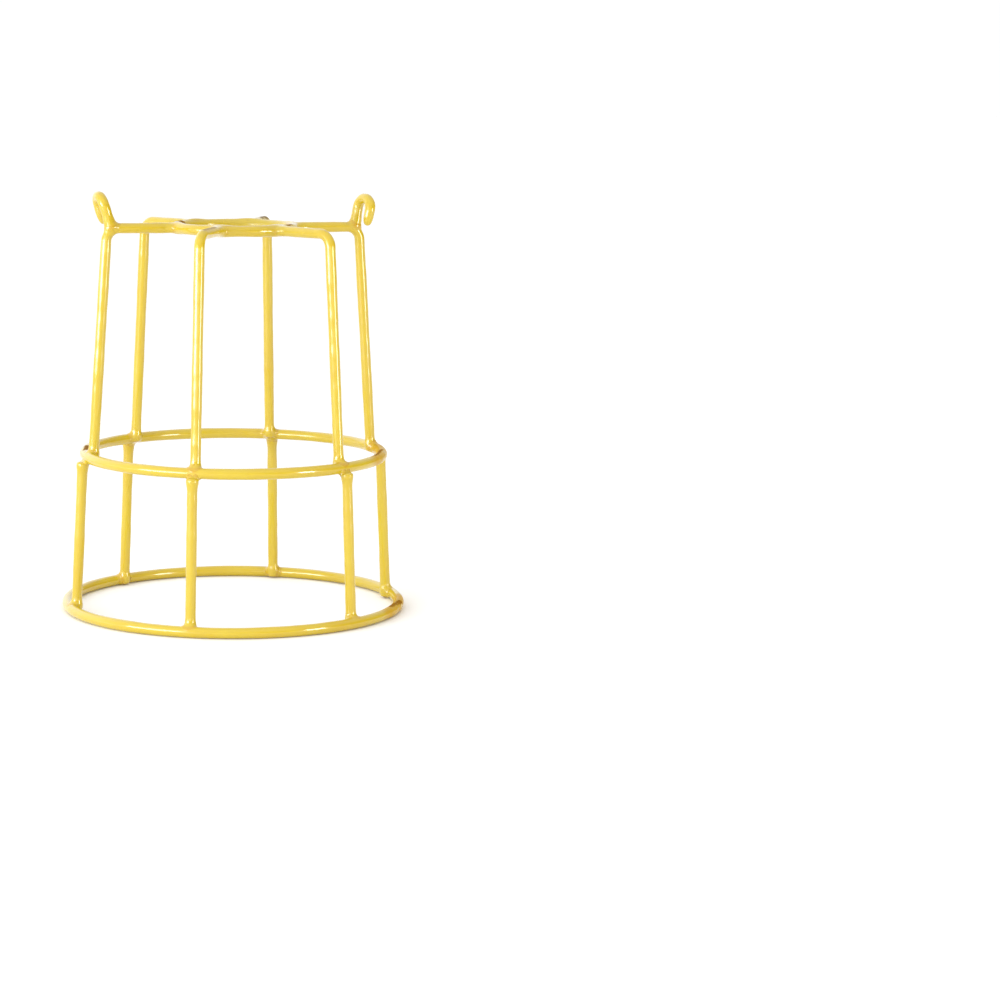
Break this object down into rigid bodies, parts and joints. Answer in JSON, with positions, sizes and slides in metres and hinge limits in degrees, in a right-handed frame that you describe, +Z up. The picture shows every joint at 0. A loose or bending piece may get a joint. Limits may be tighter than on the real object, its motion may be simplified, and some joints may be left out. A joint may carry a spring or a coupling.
{
  "type": "bulb cage guard",
  "caption": "Welded wire cage guard for a lamp bulb: round open mouth, leaning upright wires, spokes to a small collar ring, and hairpin hooks on top for the cable.",
  "frame": {"origin": "on the cage's axis, at the floor under the mouth ring", "axes": "+Z up the cage's axis, from the open mouth to the collar ring; the first cable hook is on +X and the second on -X"},
  "size_m": [0.128, 0.128, 0.1554],
  "materials": {
    "yellow_coating": "thick glossy yellow dip coating on steel wire"
  },
  "bodies": {
    "root": {"mouth_ring": "yellow_coating", "middle_ring": "yellow_coating", "collar_ring": "yellow_coating", "lower_strut_1": "yellow_coating", "lower_strut_2": "yellow_coating", "lower_strut_3": "yellow_coating", "lower_strut_4": "yellow_coating", "lower_strut_5": "yellow_coating", "lower_strut_6": "yellow_coating", "upper_rib_1": "yellow_coating", "upper_rib_2": "yellow_coating", "upper_rib_3": "yellow_coating", "upper_rib_4": "yellow_coating", "upper_rib_5": "yellow_coating", "upper_rib_6": "yellow_coating", "cable_hook_1": "yellow_coating", "cable_hook_2": "yellow_coating"}
  },
  "joints": []
}
